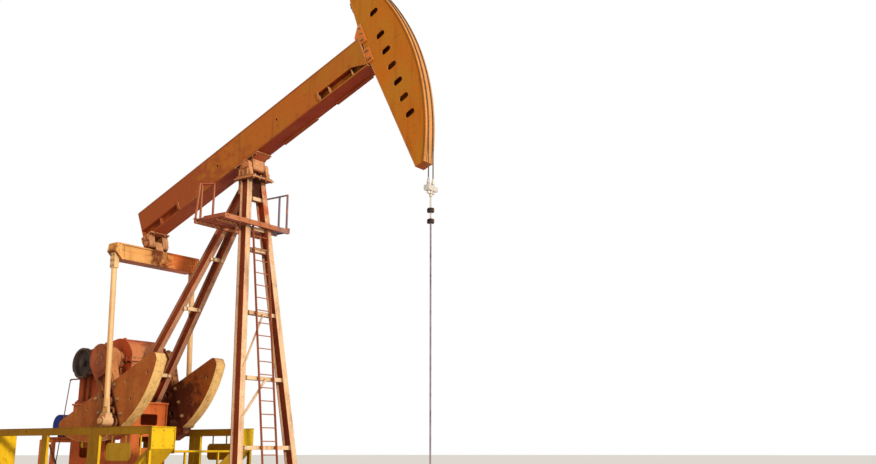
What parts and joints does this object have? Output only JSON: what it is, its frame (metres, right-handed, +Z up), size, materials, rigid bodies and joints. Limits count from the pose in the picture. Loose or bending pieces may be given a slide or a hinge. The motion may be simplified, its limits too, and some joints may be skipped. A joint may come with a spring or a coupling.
{
  "type": "pumpjack",
  "caption": "Beam pumping unit with a rocking beam, curved head, weighted cranks and gear drive, on a skid with guards.",
  "frame": {"origin": "on the skid's underside, straight below the saddle pivot, in the middle plane", "axes": "+X from the pivot towards the well, +Y to the side of the belts, +Z up"},
  "size_m": [11.8933, 2.8, 10.954],
  "materials": {
    "skid_paint": "faded ochre paint with rust",
    "stand_paint": "faded orange paint",
    "gear_paint": "dull red-brown paint",
    "leg_paint": "weathered orange paint",
    "brace_paint": "weathered orange paint",
    "deck_steel": "rusty walkway steel",
    "motor_paint": "blue paint",
    "belt_rubber": "matt rubber",
    "brake_steel": "dark greasy steel",
    "guard_paint": "yellow paint",
    "plate_paint": "dull yellow paint",
    "beam_paint": "weathered orange paint",
    "saddle_paint": "weathered orange paint",
    "head_paint": "weathered orange paint",
    "equalizer_paint": "cream and yellow paint, faded",
    "pitman_paint": "pale faded paint",
    "wrist_steel": "bare greasy cast iron",
    "crank_paint": "red-brown paint on cast iron",
    "weight_paint": "red-brown paint on cast iron",
    "shaft_steel": "machined steel",
    "sheave_iron": "dark cast iron",
    "rope_steel": "greased wire rope",
    "carrier_steel": "worn steel",
    "rod_steel": "polished steel"
  },
  "bodies": {
    "post": {"skid_rails": "skid_paint", "skid_cross": "skid_paint", "gear_stand": "stand_paint", "gearbox_case": "gear_paint", "front_leg_near": "leg_paint", "front_leg_far": "leg_paint", "front_braces": "brace_paint", "rear_leg_near": "leg_paint", "rear_leg_far": "leg_paint", "rear_braces": "brace_paint", "post_cap": "saddle_paint", "saddle_base": "saddle_paint", "deck_frame": "deck_steel", "deck_rails": "deck_steel", "ladder": "deck_steel", "motor_case": "motor_paint", "motor_stand": "stand_paint", "drive_belts": "belt_rubber", "brake_gear": "brake_steel", "guard_near": "guard_paint", "guard_far": "guard_paint", "guard_plates": "plate_paint", "front_rail": "guard_paint"},
    "beam": {"walking_beam": "beam_paint", "saddle_shaft": "saddle_paint", "head_sides": "head_paint", "head_rim": "head_paint", "head_brackets": "saddle_paint", "tail_housings": "saddle_paint", "bridle_wrap": "rope_steel"},
    "equalizer": {"equalizer_beam": "equalizer_paint", "tail_pin": "saddle_paint", "pitman_arms": "pitman_paint", "wrist_housings": "wrist_steel"},
    "cranks": {"crank_arms": "crank_paint", "slow_shaft": "shaft_steel", "crank_weights": "weight_paint"},
    "fast_shaft": {"belt_sheave": "sheave_iron", "brake_drum": "sheave_iron"},
    "pulley": {"motor_pulley": "sheave_iron"},
    "carrier": {"bridle_hang": "rope_steel", "carrier_bar": "carrier_steel", "rod_clamps": "brake_steel", "rod_line": "rod_steel"}
  },
  "joints": [
    {"name": "beam_pivot", "type": "hinge", "parent": "post", "child": "beam", "pos_m": [0, 0, 7.2], "axis": [0, 1, 0], "range_deg": [-3.7, 49.3]},
    {"name": "equalizer_pivot", "type": "hinge", "parent": "beam", "child": "equalizer", "pos_m": [-3.11823, 0, 5.84344], "axis": [0, 1, 0], "range_deg": [-41.7, 3.2]},
    {"name": "crank_turn", "type": "hinge", "parent": "post", "child": "cranks", "pos_m": [-3.6, 0, 3.18], "axis": [0, 1, 0], "range_deg": [-149.6, 11.3]},
    {"name": "rod_lift", "type": "slide", "parent": "post", "child": "carrier", "axis": [0, 0, 1], "range_m": [-4.04, 0.31], "deforming": ["bridle_hang", "rod_line"]},
    {"name": "fast_shaft_turn", "type": "hinge", "parent": "post", "child": "fast_shaft", "pos_m": [-4.62, 0, 3.16], "axis": [0, 1, 0], "continuous": true},
    {"name": "pulley_turn", "type": "hinge", "parent": "post", "child": "pulley", "pos_m": [-6, 0, 1.8], "axis": [0, 1, 0], "continuous": true}
  ],
  "couplings": [
    {"joint": "equalizer_pivot", "follows": "beam_pivot", "ratio": -0.8448},
    {"joint": "crank_turn", "follows": "beam_pivot", "ratio": -3.033},
    {"joint": "rod_lift", "follows": "beam_pivot", "m_per_rad": -4.6833},
    {"joint": "pulley_turn", "follows": "fast_shaft_turn", "ratio": 3.44}
  ]
}
